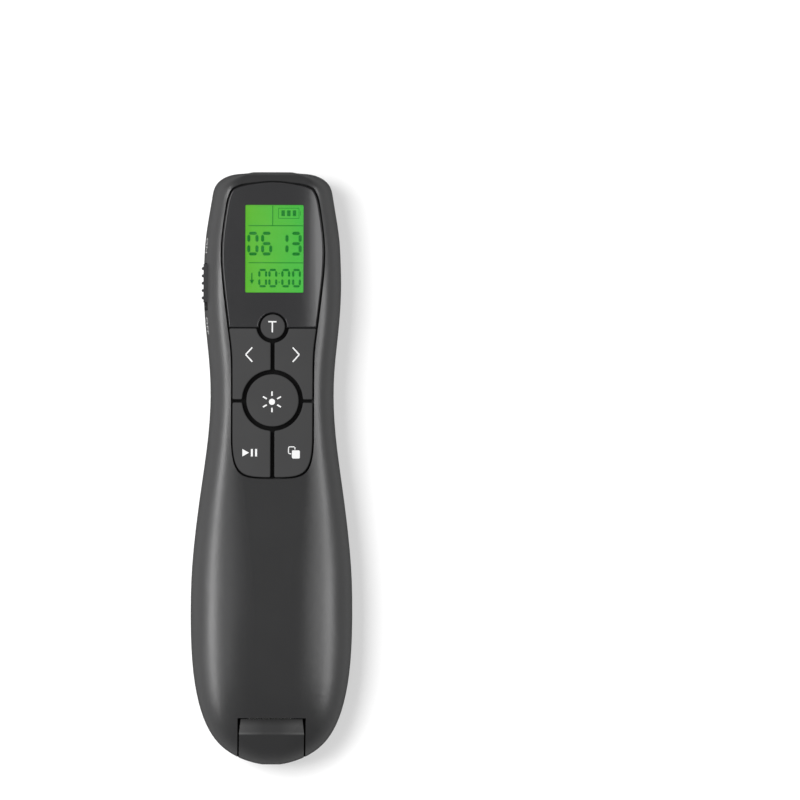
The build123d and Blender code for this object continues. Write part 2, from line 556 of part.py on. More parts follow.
with BuildPart() as power_knob:
    with BuildSketch(Plane.YZ.offset(-KNOB_FACE)):
        with Locations((KNOB_Y, KNOB_Z)):
            RectangleRounded(KNOB_LENGTH, KNOB_HEIGHT, 0.5)
    extrude(amount=KNOB_FACE + FLANGE_FACE + 0.3)
    with BuildSketch(Plane.YZ.offset(FLANGE_FACE + 0.1)):
        with Locations((KNOB_Y, KNOB_Z)):
            Rectangle(KNOB_LENGTH + KNOB_TRAVEL, KNOB_HEIGHT + 1.0)
    extrude(amount=1.0)
    with BuildSketch(Plane.XY.offset(KNOB_Z - KNOB_HEIGHT / 2 + 0.3)):
        with Locations((-KNOB_FACE, KNOB_Y)):
            with GridLocations(1, RIB_PITCH, 1, RIB_COUNT):
                SlotOverall(2 * RIB_RISE, RIB_WIDTH)
    extrude(amount=KNOB_HEIGHT - 0.6)
save(power_knob, "power_knob")

# ---- laser ----
with BuildPart() as laser_barrel:
    rod(LASER_AXIS, BARREL_RADIUS, BARREL_REAR, BARREL_FRONT)
    rod(LASER_AXIS, BARREL_BORE, BARREL_REAR, BARREL_FRONT, mode=Mode.SUBTRACT)
save(laser_barrel, "laser_barrel")

with BuildPart() as laser_lens:
    rod(LASER_AXIS, BARREL_BORE - 0.05, BARREL_FRONT - 2.2, BARREL_FRONT - 0.6)
save(laser_lens, "laser_lens")

with BuildPart() as laser_diode:
    rod(LASER_AXIS, BARREL_BORE - 0.05, BARREL_REAR, BARREL_REAR + 1.2)
    rod(LASER_AXIS, BARREL_BORE - 0.7, BARREL_REAR + 1.2, BARREL_REAR + 3.4)
save(laser_diode, "laser_diode")

with BuildPart() as laser_board:
    block((-3.2, 3.2), (BARREL_REAR - 1.0, BARREL_REAR), (BELT_Z - 3, BELT_Z + 3))
save(laser_board, "laser_board")

with BuildPart() as laser_window:
    rod(LASER_AXIS, LASER_WINDOW_RADIUS, BARREL_FRONT + 0.4, BARREL_FRONT + 1.6)
save(laser_window, "laser_window")

# ---- vibration motor ----
MOTOR_FRONT = MOTOR_Y + MOTOR_LENGTH
SHAFT_RADIUS = 0.5
with BuildPart() as motor_can:
    rod(MOTOR_AXIS, MOTOR_RADIUS, MOTOR_Y, MOTOR_FRONT)
    rod(MOTOR_AXIS, SHAFT_RADIUS + 0.1, MOTOR_FRONT - 2, MOTOR_FRONT, mode=Mode.SUBTRACT)
save(motor_can, "motor_can")

with BuildPart() as motor_shaft:
    rod(MOTOR_AXIS, SHAFT_RADIUS, MOTOR_FRONT - 1.8, MOTOR_FRONT + 4.6)
save(motor_shaft, "motor_shaft")

with BuildPart() as motor_weight:
    rod(MOTOR_AXIS, MOTOR_RADIUS - 0.3, MOTOR_FRONT + 0.8, MOTOR_FRONT + 4.3)
    block((-CAP, CAP), (0, CAP * 2), (MOTOR_Z + 0.9, CAP), mode=Mode.SUBTRACT)
    rod(MOTOR_AXIS, SHAFT_RADIUS, MOTOR_FRONT, MOTOR_FRONT + 5, mode=Mode.SUBTRACT)
save(motor_weight, "motor_weight")

# ---- cells, contacts and springs ----
PLATE = CELL_RADIUS - 1.2
NUB_FRONT = BAY_FRONT - CONTACT_THICK
NUB_REAR = BAY_REAR + CONTACT_THICK
with BuildPart() as battery_contacts:
    for x in (CELL_X, -CELL_X):
        block((x - PLATE, x + PLATE), (NUB_FRONT, BAY_FRONT), (CELL_Z - PLATE, CELL_Z + PLATE))
    block((-CELL_X - PLATE, CELL_X + PLATE), (BAY_REAR, NUB_REAR), (CELL_Z - PLATE, CELL_Z + PLATE))
save(battery_contacts, "battery_contacts")

with BuildPart() as battery_left:
    rod((-CELL_X, CELL_Z), CELL_RADIUS, NUB_FRONT - NUB_LENGTH - CELL_LENGTH, NUB_FRONT - NUB_LENGTH)
    fillet(battery_left.edges().filter_by(GeomType.CIRCLE), 0.5)
    rod((-CELL_X, CELL_Z), NUB_RADIUS, NUB_FRONT - NUB_LENGTH - 1, NUB_FRONT)
save(battery_left, "battery_left")

with BuildPart() as battery_right:
    rod((CELL_X, CELL_Z), CELL_RADIUS, NUB_REAR + NUB_LENGTH, NUB_REAR + NUB_LENGTH + CELL_LENGTH)
    fillet(battery_right.edges().filter_by(GeomType.CIRCLE), 0.5)
    rod((CELL_X, CELL_Z), NUB_RADIUS, NUB_REAR, NUB_REAR + NUB_LENGTH + 1)
save(battery_right, "battery_right")

WIRE_RADIUS, COIL_RADIUS, COIL_TURNS = 0.3, 2.6, 2.5
COIL_HEIGHT = SPRING_LENGTH - 2 * WIRE_RADIUS - 0.1
with BuildPart() as spring:
    with BuildLine():
        coil = Helix(COIL_HEIGHT / COIL_TURNS, COIL_HEIGHT, COIL_RADIUS)
    with BuildSketch(Plane(origin=coil @ 0, z_dir=coil % 0)):
        RegularPolygon(WIRE_RADIUS, 6)
    sweep(path=coil, is_frenet=True)

COIL_END = WIRE_RADIUS + 0.05
with BuildPart() as battery_springs:
    with Locations(Location((CELL_X, NUB_FRONT - COIL_END, CELL_Z), (90, 0, 0))):
        add(spring.part)
    with Locations(Location((-CELL_X, NUB_REAR + COIL_END, CELL_Z), (-90, 0, 0))):
        add(spring.part)
save(battery_springs, "battery_springs")

# ---- USB receiver, parked in the tail ----
with BuildPart() as receiver_body:
    add(UPPER_FORM)
    add(LOWER_FORM)
    block((-RECEIVER_WIDTH / 2, RECEIVER_WIDTH / 2), (TAIL_Y - 1, RECEIVER_FRONT), (RECEIVER_BASE, CAP),
          mode=Mode.INTERSECT)
    crest_rise = sqrt(1 - ((CREST_Y - PALM_Y) / (TAIL_Y - PALM_Y)) ** 2)
    crest_z = BELT_Z + (PALM_CROWN_Z - BELT_Z) * crest_rise
    with BuildSketch(Plane.YZ.offset(-SLOT_WIDTH)):
        with BuildLine():
            Polyline(
                (CREST_Y, crest_z), (RECEIVER_FRONT, crest_z + GRIP_RISE), (RECEIVER_FRONT, CAP),
                (CREST_Y, CAP), close=True,
            )
        make_face()
    extrude(amount=2 * SLOT_WIDTH, mode=Mode.SUBTRACT)
    with BuildSketch(Plane.XY):
        for side in (1, -1):
            edge = side * RECEIVER_WIDTH / 2
            with BuildLine():
                Polyline(
                    (edge, CREST_Y), (edge - side * GRIP_TAPER, RECEIVER_FRONT), (edge + side, RECEIVER_FRONT + 1),
                    (edge + side, CREST_Y), close=True,
                )
            make_face()
    extrude(amount=CAP, mode=Mode.SUBTRACT)
    block((-RECEIVER_WIDTH / 2 + 1.2, RECEIVER_WIDTH / 2 - 1.2), (RECEIVER_FRONT - 6.4, RECEIVER_FRONT - 1.2),
          (RECEIVER_BASE + 1.2, RECEIVER_SPLIT + 2.6), mode=Mode.SUBTRACT)
    with BuildSketch(Plane.XZ.offset(-RECEIVER_FRONT)):
        with Locations((0, PLUG_Z)):
            Rectangle(PLUG_WIDTH + 0.1, PLUG_HEIGHT + 0.1)
    extrude(amount=2, mode=Mode.SUBTRACT)

with BuildPart() as receiver_upper_case:
    add(receiver_body.part)
    split(bisect_by=Plane.XY.offset(RECEIVER_SPLIT), keep=Keep.TOP)
save(receiver_upper_case, "receiver_upper_case")

with BuildPart() as receiver_lower_case:
    add(receiver_body.part)
    split(bisect_by=Plane.XY.offset(RECEIVER_SPLIT), keep=Keep.BOTTOM)
save(receiver_lower_case, "receiver_lower_case")

PLUG_REAR = RECEIVER_FRONT - 1.2
PLUG_FRONT = RECEIVER_FRONT + PLUG_LENGTH
TONGUE_TOP = PLUG_Z + 0.1
with BuildPart() as usb_shell:
    with BuildSketch(Plane.XZ.offset(-PLUG_FRONT)):
        with Locations((0, PLUG_Z)):
            RectangleRounded(PLUG_WIDTH, PLUG_HEIGHT, 0.5)
            Rectangle(PLUG_WIDTH - 2 * PLUG_SKIN, PLUG_HEIGHT - 2 * PLUG_SKIN, mode=Mode.SUBTRACT)
    extrude(amount=PLUG_FRONT - PLUG_REAR)
    # the two latch windows of a USB plug, top and bottom
    for x in (-3, 3):
        block((x - 1.1, x + 1.1), (PLUG_FRONT - 6.2, PLUG_FRONT - 4.0), (0, CAP), mode=Mode.SUBTRACT)
save(usb_shell, "usb_shell")

with BuildPart() as usb_tongue:
    block((-5.5, 5.5), (PLUG_REAR, PLUG_FRONT - 0.3), (PLUG_Z - PLUG_HEIGHT / 2 + PLUG_SKIN + 0.05, TONGUE_TOP))
save(usb_tongue, "usb_tongue")

with BuildPart() as usb_contacts:
    for x, reach in ((-3.5, 7.4), (-1.0, 6.4), (1.0, 6.4), (3.5, 7.4)):
        block((x - 0.5, x + 0.5), (PLUG_FRONT - 0.8 - reach, PLUG_FRONT - 0.8), (TONGUE_TOP, TONGUE_TOP + 0.15))
save(usb_contacts, "usb_contacts")

with BuildPart() as receiver_pcb:
    block((-6, 6), (RECEIVER_FRONT - 6.2, PLUG_REAR - 0.1), (PLUG_Z - 0.8, PLUG_Z))
save(receiver_pcb, "receiver_pcb")

with BuildPart() as receiver_chip:
    block((-2, 2), (RECEIVER_FRONT - 5.4, RECEIVER_FRONT - 2.4), (PLUG_Z, PLUG_Z + 0.9))
save(receiver_chip, "receiver_chip")


# ---- screws ----
def screws(name, groups, radius, head_radius, head_height, tip):
    """Pan-head screws standing on their heads, with a cross recess below."""
    with BuildPart() as group:
        for places, seat in groups:
            post(places, head_radius, seat - head_height, seat)
            post(places, radius, seat, tip)
            with BuildSketch(Plane.XY.offset(seat - head_height)):
                with Locations(*places):
                    Rectangle(1.2 * head_radius, 0.3 * head_radius)
                    Rectangle(0.3 * head_radius, 1.2 * head_radius)
            extrude(amount=head_height / 2, mode=Mode.SUBTRACT)
    save(group, name)


screws("housing_screws", [(FRONT_SCREWS, FRONT_SEAT), (REAR_SCREWS, REAR_SEAT)],
       SCREW_RADIUS, HEAD_RADIUS, HEAD_HEIGHT, SCREW_TIP)
screws("pcb_screws", [(PCB_SCREWS, PCB_Z)],
       BOARD_SCREW_RADIUS, BOARD_HEAD_RADIUS, BOARD_HEAD_HEIGHT, BOARD_SCREW_TIP)
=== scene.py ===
import json
from math import atan2, cos, pi, radians, sin

import bmesh
import bpy
from mathutils import Matrix, Vector
from mathutils.bvhtree import BVHTree


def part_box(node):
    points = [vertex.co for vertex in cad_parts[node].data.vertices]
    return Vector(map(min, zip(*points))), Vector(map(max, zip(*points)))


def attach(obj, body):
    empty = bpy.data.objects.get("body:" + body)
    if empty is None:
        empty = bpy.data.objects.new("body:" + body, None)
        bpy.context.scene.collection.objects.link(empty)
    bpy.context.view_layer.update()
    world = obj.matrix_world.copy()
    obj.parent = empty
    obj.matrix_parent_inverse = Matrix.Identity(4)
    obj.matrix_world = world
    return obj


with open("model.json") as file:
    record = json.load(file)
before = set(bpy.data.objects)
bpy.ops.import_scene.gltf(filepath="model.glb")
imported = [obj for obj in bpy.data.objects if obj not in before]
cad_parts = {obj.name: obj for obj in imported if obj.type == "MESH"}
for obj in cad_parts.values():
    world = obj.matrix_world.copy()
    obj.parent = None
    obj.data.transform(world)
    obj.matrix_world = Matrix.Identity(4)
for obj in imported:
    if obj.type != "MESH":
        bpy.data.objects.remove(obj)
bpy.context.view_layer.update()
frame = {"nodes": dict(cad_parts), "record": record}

MM = 0.001
SLOT_OF = {part["node"]: part["material_slot"] for part in frame["record"]["subparts"]}

# ---- camera: almost straight above, a little from the left, through a long lens ----
VIEW_CENTRE = (31.35 * MM, 16.62 * MM)
VIEW_SPAN = 196.05 * MM
VIEW_DISTANCE = 8.0
VIEW_TILT = radians(0.8)
VIEW_ROLL = radians(0.16)
BELT_HEIGHT = 11 * MM
SENSOR_WIDTH = 36.0

camera_data = bpy.data.cameras.new("camera")
camera_data.sensor_width = SENSOR_WIDTH
camera_data.lens = SENSOR_WIDTH * VIEW_DISTANCE / VIEW_SPAN
camera_data.clip_end = 2.5 * VIEW_DISTANCE
camera = bpy.data.objects.new("camera", camera_data)
camera.location = (VIEW_CENTRE[0] - VIEW_DISTANCE * sin(VIEW_TILT), VIEW_CENTRE[1],
                   BELT_HEIGHT + VIEW_DISTANCE * cos(VIEW_TILT))
camera.rotation_euler = (0, -VIEW_TILT, VIEW_ROLL)
bpy.context.collection.objects.link(camera)
bpy.context.scene.camera = camera
bpy.context.scene.view_settings.view_transform = "Standard"


# ---- shader building blocks ----
def fill_in(node, inputs):
    """Sets a node's inputs by their names, with _ for a space."""
    for name, value in inputs.items():
        node.inputs[name.replace("_", " ")].default_value = value
    return node


def put(tree, kind, **inputs):
    """Adds a shader node with its values."""
    return fill_in(tree.nodes.new(kind), inputs)


def use(tree, group, **inputs):
    """Places an effect in a material with its own values."""
    made = tree.nodes.new("ShaderNodeGroup")
    made.node_tree = group
    return fill_in(made, inputs)


def effect(name, inputs, outputs):
    """Starts a shader node group with named inputs and outputs."""
    tree = bpy.data.node_groups.new(name, "ShaderNodeTree")
    for socket, kind, value in inputs:
        made = tree.interface.new_socket(socket, in_out="INPUT", socket_type=kind)
        made.default_value = value
    for socket in outputs:
        tree.interface.new_socket(socket, in_out="OUTPUT", socket_type="NodeSocketFloat")
    return tree, tree.nodes.new("NodeGroupInput"), tree.nodes.new("NodeGroupOutput")


def maths(tree, operation, first, second=0.0):
    """A Math node between two sockets or numbers."""
    made = tree.nodes.new("ShaderNodeMath")
    made.operation = operation
    for socket, value in zip(made.inputs, (first, second)):
        if isinstance(value, (int, float)):
            socket.default_value = value
        else:
            tree.links.new(value, socket)
    return made.outputs["Value"]


def rising(tree, mask, least, most):
    """A value that is least where a mask is 0 and most where it is 1."""
    return maths(tree, "ADD", maths(tree, "MULTIPLY", mask, most - least), least)


def ramp(tree, value, start, end, low=0.0, high=1.0):
    """A value that runs from low to high while another one runs from start to end."""
    made = put(tree, "ShaderNodeMapRange", From_Min=start, From_Max=end, To_Min=low, To_Max=high)
    tree.links.new(value, made.inputs["Value"])
    return made.outputs["Result"]


# a Mix node's colour sockets go by number, because those for values and vectors have the same names
MIX_LOW, MIX_HIGH, MIXED = 6, 7, 2


def blended(tree, mask, low, high):
    """A colour that runs from low to high with a mask."""
    mix = tree.nodes.new("ShaderNodeMix")
    mix.data_type = "RGBA"
    tree.links.new(mask, mix.inputs["Factor"])
    for socket, value in ((mix.inputs[MIX_LOW], low), (mix.inputs[MIX_HIGH], high)):
        if isinstance(value, tuple):
            socket.default_value = (*value, 1)
        else:
            tree.links.new(value, socket)
    return mix.outputs[MIXED]


def on_object(tree):
    """The place of a point on the object."""
    return tree.nodes.new("ShaderNodeTexCoord").outputs["Object"]


def position(tree):
    """The place of a point on the object, as separate X, Y and Z."""
    axes = tree.nodes.new("ShaderNodeSeparateXYZ")
    tree.links.new(on_object(tree), axes.inputs["Vector"])
    return axes.outputs


def noise(tree, **inputs):
    """Cloudy noise that stays in its place on the object."""
    made = put(tree, "ShaderNodeTexNoise", **inputs)
    tree.links.new(on_object(tree), made.inputs["Vector"])
    return made


# moulded_grain: the fine spark-eroded texture of moulded plastic, with soft mottling and finger polish
grain, grain_in, grain_out = effect(
    "moulded_grain",
    [("Grain Scale", "NodeSocketFloat", 9000.0), ("Mottle Scale", "NodeSocketFloat", 90.0)],
    ["Height", "Mottle", "Polish"],
)
fine = noise(grain, Detail=2.0, Roughness=0.6)
grain.links.new(grain_in.outputs["Grain Scale"], fine.inputs["Scale"])
grain.links.new(fine.outputs["Fac"], grain_out.inputs["Height"])
cloud = noise(grain, Detail=4.0, Roughness=0.55)
grain.links.new(grain_in.outputs["Mottle Scale"], cloud.inputs["Scale"])
grain.links.new(cloud.outputs["Fac"], grain_out.inputs["Mottle"])
rubbed = noise(grain, Scale=38.0, Detail=1.5)
grain.links.new(ramp(grain, rubbed.outputs["Fac"], 0.38, 0.68), grain_out.inputs["Polish"])

# hairlines: long shallow scratches along one direction, for gloss covers, glass and drawn metal
hair, hair_in, hair_out = effect(
    "hairlines",
    [("Stretch", "NodeSocketVector", (4000.0, 120.0, 4000.0)), ("Sharpness", "NodeSocketFloat", 0.62)],
    ["Height", "Mask"],
)
drawn_out = hair.nodes.new("ShaderNodeVectorMath")
drawn_out.operation = "MULTIPLY"
hair.links.new(on_object(hair), drawn_out.inputs[0])
hair.links.new(hair_in.outputs["Stretch"], drawn_out.inputs[1])
lines = put(hair, "ShaderNodeTexNoise", Scale=1.0, Detail=3.0)
hair.links.new(drawn_out.outputs["Vector"], lines.inputs["Vector"])
deep = put(hair, "ShaderNodeMapRange", From_Max=0.8)
hair.links.new(lines.outputs["Fac"], deep.inputs["Value"])
hair.links.new(hair_in.outputs["Sharpness"], deep.inputs["From Min"])
hair.links.new(lines.outputs["Fac"], hair_out.inputs["Height"])
hair.links.new(deep.outputs["Result"], hair_out.inputs["Mask"])


# ---- finishes ----
# how deep the grain of moulded plastic is, a board's tracks, and a scratch or the film of a print
GRAIN_DEPTH, TRACK_DEPTH, FILM_DEPTH = 0.02 * MM, 0.03 * MM, 0.01 * MM
# how late a moulded surface turns dull as it is seen more from the side
SIDE_FALLOFF = 3.0
# how much rougher a metal is along its hairlines
HAIR_ROUGHNESS = 0.15


def finish(name, **inputs):
    """A new material and its Principled shader, with the shader's own plain values set."""
    made = bpy.data.materials.new(name)
    made.use_nodes = True
    return made, made.node_tree, fill_in(made.node_tree.nodes["Principled BSDF"], inputs)


def emboss(tree, shader, height, strength, depth):
    """Drives a shader's normal with a height."""
    bump = put(tree, "ShaderNodeBump", Strength=strength, Distance=depth)
    tree.links.new(height, bump.inputs["Height"])
    tree.links.new(bump.outputs["Normal"], shader.inputs["Normal"])


def moulded(name, dark, light, rough, rubbed_rough, gloss=0.5, tint=None):
    """Moulded plastic: mottled, smoother where it is rubbed, dull where its grain is seen from the side."""
    material, tree, shader = finish(name, Specular_IOR_Level=gloss)
    texture = use(tree, grain)
    colour = blended(tree, texture.outputs["Mottle"], dark, light)
    if tint:
        colour = tint(tree, colour)
    tree.links.new(colour, shader.inputs["Base Color"])
    from_side = put(tree, "ShaderNodeLayerWeight", Blend=0.5)
    duller = maths(tree, "POWER", from_side.outputs["Facing"], SIDE_FALLOFF)
    flat_roughness = rising(tree, texture.outputs["Polish"], rough, rubbed_rough)
    tree.links.new(maths(tree, "ADD", flat_roughness, duller), shader.inputs["Roughness"])
    emboss(tree, shader, texture.outputs["Height"], 0.25, GRAIN_DEPTH)
    return material


def metal(name, dark, light, rough, stretch):
    """Drawn or turned metal with hairlines along one direction."""
    material, tree, shader = finish(name, Metallic=1.0)
    texture = use(tree, hair, Stretch=stretch, Sharpness=0.5)
    tree.links.new(blended(tree, texture.outputs["Mask"], dark, light), shader.inputs["Base Color"])
    tree.links.new(rising(tree, texture.outputs["Mask"], rough, rough + HAIR_ROUGHNESS),
                   shader.inputs["Roughness"])
    emboss(tree, shader, texture.outputs["Height"], 0.15, FILM_DEPTH)
    return material


# the tray under the keys: its height, its half width and its two ends, and how near to that height counts
TRAY_TOP, TRAY_HALF, TRAY_REAR, TRAY_FRONT = 19.6 * MM, 9.6 * MM, -2.3 * MM, 38 * MM
TRAY_SLACK = 0.05 * MM
# the black of the tray floor is painted shade in the key gaps, and also stands for the black keypad, which is
# not modelled
GAP_SHADE_BLACK = (0.004, 0.004, 0.004)


def tray_painted_shade(tree, colour):
    """The floor between the keys, painted black: painted shade in the gaps between the keys, also standing
    for the black keypad's edge, which is not modelled.
    """
    at = position(tree)
    inside = maths(tree, "LESS_THAN", maths(tree, "ABSOLUTE", at["X"]), TRAY_HALF)
    past_rear = maths(tree, "GREATER_THAN", at["Y"], TRAY_REAR)
    before_front = maths(tree, "LESS_THAN", at["Y"], TRAY_FRONT)
    level = maths(tree, "COMPARE", at["Z"], TRAY_TOP)
    level.node.inputs[2].default_value = TRAY_SLACK
    mask = maths(tree, "MULTIPLY", maths(tree, "MULTIPLY", inside, past_rear),
                 maths(tree, "MULTIPLY", before_front, level))
    return blended(tree, mask, colour, GAP_SHADE_BLACK)


# the receiver's thumb grip: its crest, its flat that runs from there to the front, and the painted shade in
# front of that
CREST, CREST_HALF = -64.8 * MM, 0.45 * MM
GRIP_MIDDLE, GRIP_HALF = 2 * MM, 7.9 * MM
SHADE_BACK, GRIP_FRONT = -62.8 * MM, -61.3 * MM
# the crest's painted highlight, the flat's painted light and the painted shade at the grip's front
CREST_HIGHLIGHT, FLAT_LIGHT, GRIP_SHADE = (0.09, 0.09, 0.09), (0.078, 0.078, 0.078), (0.012, 0.012, 0.012)


def grip_painted_light(tree, colour):
    """The receiver's thumb grip: painted light on its flat and a painted highlight on its crest, most at the
    ends, with painted shade in front.
    """
    at = position(tree)
    from_crest = maths(tree, "ABSOLUTE", maths(tree, "SUBTRACT", at["Y"], CREST))
    # painted highlight along the crest
    crest = ramp(tree, from_crest, CREST_HALF, 0.0)
    flat = ramp(tree, at["Y"], CREST, CREST + CREST_HALF, high=0.6)
    # painted shade, darker towards the grip's front
    front_shade = ramp(tree, at["Y"], SHADE_BACK, GRIP_FRONT, high=0.8)
    ends = ramp(tree, maths(tree, "ABSOLUTE", at["X"]), GRIP_MIDDLE, GRIP_HALF, low=0.25)
    lit_flat = blended(tree, maths(tree, "MULTIPLY", flat, ends), colour, FLAT_LIGHT)
    shaded_flat = blended(tree, front_shade, lit_flat, GRIP_SHADE)
    return blended(tree, maths(tree, "MULTIPLY", crest, ends), shaded_flat, CREST_HIGHLIGHT)


def charcoal_shell(name, tint):
    """The housing's satin charcoal plastic."""
    return moulded(name, (0.0205, 0.0205, 0.021), (0.0245, 0.0245, 0.025), 0.34, 0.3, 0.16, tint)


def gloss_cover():
    """The display's gloss cover, a little cloudy, with fine scuffs."""
    material, tree, shader = finish("gloss_cover", Specular_IOR_Level=0.35)
    scuffs = use(tree, hair, Stretch=(2600.0, 90.0, 2600.0), Sharpness=0.66)
    clouds = use(tree, grain, Mottle_Scale=60.0)
    tree.links.new(blended(tree, clouds.outputs["Mottle"], (0.018, 0.018, 0.019), (0.023, 0.023, 0.024)),
                   shader.inputs["Base Color"])
    tree.links.new(rising(tree, scuffs.outputs["Mask"], 0.12, 0.22), shader.inputs["Roughness"])
    emboss(tree, shader, clouds.outputs["Height"], 0.08, FILM_DEPTH)
    return material


def clear_pane():
    """The clear panes over the display and in front of the laser, with wiping marks."""
    material, tree, shader = finish("clear_pane", Transmission_Weight=1.0, IOR=1.25, Base_Color=(1, 1, 1, 1))
    wiped = use(tree, hair, Stretch=(1800.0, 70.0, 1800.0), Sharpness=0.68)
    tree.links.new(rising(tree, wiped.outputs["Mask"], 0.0, 0.06), shader.inputs["Roughness"])
    return material


# the lit display's two edges and its greens there, with the share of patchiness and the shift that centres it
LIT_EDGES = (-8 * MM, 9 * MM)
LIT_LEFT, LIT_RIGHT = (0.103, 0.45, 0.018), (0.035, 0.445, 0.04)
PATCH_SHARE, PATCH_SHIFT = 0.35, 0.17


def lit_display():
    """The lit liquid-crystal display, whose green runs a little yellow towards its left edge."""
    material, tree, shader = finish("lit_display", Roughness=0.4, Base_Color=(0.01, 0.03, 0.008, 1),
                                    Emission_Strength=1.0, Specular_IOR_Level=0.1)
    across = ramp(tree, position(tree)["X"], *LIT_EDGES)
    patches = maths(tree, "MULTIPLY", noise(tree, Scale=160.0, Detail=2.0).outputs["Fac"], PATCH_SHARE)
    uneven = maths(tree, "SUBTRACT", maths(tree, "ADD", across, patches), PATCH_SHIFT)
    tree.links.new(blended(tree, uneven, LIT_LEFT, LIT_RIGHT), shader.inputs["Emission Color"])
    return material


def dark_segments():
    """The display's dark segments, which let a little green through."""
    material, tree, shader = finish("dark_segments", Roughness=0.4, Base_Color=(0.002, 0.02, 0.006, 1),
                                    Emission_Strength=1.0, Specular_IOR_Level=0.1)
    patches = use(tree, grain, Mottle_Scale=900.0)
    tree.links.new(blended(tree, patches.outputs["Mottle"], (0.0, 0.14, 0.005), (0.001, 0.19, 0.01)),
                   shader.inputs["Emission Color"])
    return material


def board_mask():
    """A circuit board's green mask, lighter over its tracks."""
    material, tree, shader = finish("board_mask", Roughness=0.35)
    tracks = put(tree, "ShaderNodeTexBrick", Scale=420.0, Mortar_Size=0.035, Brick_Width=0.9, Row_Height=0.22)
    tree.links.new(on_object(tree), tracks.inputs["Vector"])
    tree.links.new(blended(tree, tracks.outputs["Fac"], (0.008, 0.1, 0.035), (0.02, 0.2, 0.08)),
                   shader.inputs["Base Color"])
    emboss(tree, shader, tracks.outputs["Fac"], 0.4, TRACK_DEPTH)
    return material


# where a cell's blue print ends and its bare band starts
BAND_START, BAND_FULL = -11 * MM, -10.8 * MM


def cell_sleeve():
    """A cell's printed sleeve: blue, with a band the colour of bare metal at its front."""
    material, tree, shader = finish("cell_sleeve", Roughness=0.28)
    film = use(tree, grain, Mottle_Scale=200.0)
    blue = blended(tree, film.outputs["Mottle"], (0.03, 0.09, 0.2), (0.05, 0.13, 0.27))
    band = ramp(tree, position(tree)["Y"], BAND_START, BAND_FULL)
    tree.links.new(blended(tree, band, blue, (0.5, 0.5, 0.52)), shader.inputs["Base Color"])
    emboss(tree, shader, film.outputs["Height"], 0.1, FILM_DEPTH)
    return material


def ink(name, dark, light):
    """Pad-printed ink, a little uneven where the plastic's grain shows through."""
    material, tree, shader = finish(name, Roughness=0.5)
    thin = use(tree, grain, Grain_Scale=12000.0, Mottle_Scale=1500.0)
    tree.links.new(blended(tree, thin.outputs["Mottle"], dark, light), shader.inputs["Base Color"])
    emboss(tree, shader, thin.outputs["Height"], 0.2, FILM_DEPTH)
    return material


FINISHES = {
    "shell": charcoal_shell("satin_charcoal", tray_painted_shade),
    "keys": moulded("key_charcoal", (0.041, 0.041, 0.0415), (0.048, 0.048, 0.0485), 0.5, 0.44, gloss=0.06),
    "knob": moulded("knob_charcoal", (0.03, 0.03, 0.031), (0.038, 0.038, 0.039), 0.45, 0.38, gloss=0.25),
    "frame_plastic": moulded("white_frame", (0.72, 0.72, 0.7), (0.8, 0.8, 0.78), 0.5, 0.4),
    "rubber": moulded("contact_rubber", (0.2, 0.2, 0.2), (0.28, 0.28, 0.28), 0.7, 0.6),
    "switch_plastic": moulded("switch_black", (0.018, 0.018, 0.018), (0.026, 0.026, 0.026), 0.45, 0.35),
    "chip": moulded("chip_epoxy", (0.012, 0.012, 0.012), (0.02, 0.02, 0.02), 0.55, 0.45),
    "diffuser": moulded("backlight_diffuser", (0.3, 0.7, 0.2), (0.36, 0.8, 0.25), 0.3, 0.25),
    "steel": metal("drawn_steel", (0.5, 0.5, 0.49), (0.66, 0.66, 0.64), 0.25, (3000.0, 150.0, 3000.0)),
    "brass": metal("turned_brass", (0.62, 0.42, 0.16), (0.78, 0.58, 0.27), 0.25, (150.0, 3000.0, 150.0)),
    "weight": metal("sintered_weight", (0.25, 0.25, 0.26), (0.36, 0.36, 0.37), 0.4, (1500.0, 1500.0, 1500.0)),
    "screw": metal("black_zinc", (0.1, 0.1, 0.105), (0.2, 0.2, 0.21), 0.35, (2500.0, 2500.0, 300.0)),
    "bezel": gloss_cover(),
    "window": clear_pane(),
    "lcd_glass": lit_display(),
    "board": board_mask(),
    "cell": cell_sleeve(),
}
# nodes with painted light and shade of their own, unlike the rest of their slot
OWN_FINISHES = {"receiver_upper_case": charcoal_shell("receiver_charcoal", grip_painted_light)}
WHITE_INK = ink("white_ink", (0.6, 0.6, 0.6), (0.7, 0.7, 0.7))
GREY_INK = ink("grey_ink", (0.26, 0.26, 0.26), (0.36, 0.36, 0.36))
SEGMENTS = dark_segments()

for node, slot in SLOT_OF.items():
    mesh = frame["nodes"][node].data
    mesh.materials.clear()
    mesh.materials.append(OWN_FINISHES.get(node, FINISHES[slot]))


# ---- flat shapes in mm, and how they become prints ----
# a print stands proud of its surface, its back is sunk in it, and the search for the surface starts well off
INK_PROUD, INK_SUNK, SEARCH_REACH = 0.02 * MM, 0.06 * MM, 50 * MM
DOWN, INTO_LEFT_SIDE = Vector((0, 0, -1)), Vector((1, 0, 0))


def outline(bm, points):
    """One flat face from its corners."""
    return bm.faces.new([bm.verts.new((x * MM, y * MM, 0)) for x, y in points])


def bar(bm, start, end, width):
    """A flat stroke from start to end."""
    (x0, y0), (x1, y1) = start, end
    angle = atan2(y1 - y0, x1 - x0) + pi / 2
    dx, dy = cos(angle) * width / 2, sin(angle) * width / 2
    return outline(bm, [(x0 - dx, y0 - dy), (x1 - dx, y1 - dy), (x1 + dx, y1 + dy), (x0 + dx, y0 + dy)])


def disc(bm, centre, radius, segments=24):
    """A flat round dot."""
    at = Matrix.Translation((centre[0] * MM, centre[1] * MM, 0))
    bmesh.ops.create_circle(bm, cap_ends=True, radius=radius * MM, segments=segments, matrix=at)


def thicken(bm, rise):
    """Makes flat faces into slabs that rise by a vector in metres."""
    grown = bmesh.ops.extrude_face_region(bm, geom=bm.faces[:])
    moved = [item for item in grown["geom"] if isinstance(item, bmesh.types.BMVert)]
    bmesh.ops.translate(bm, verts=moved, vec=rise)


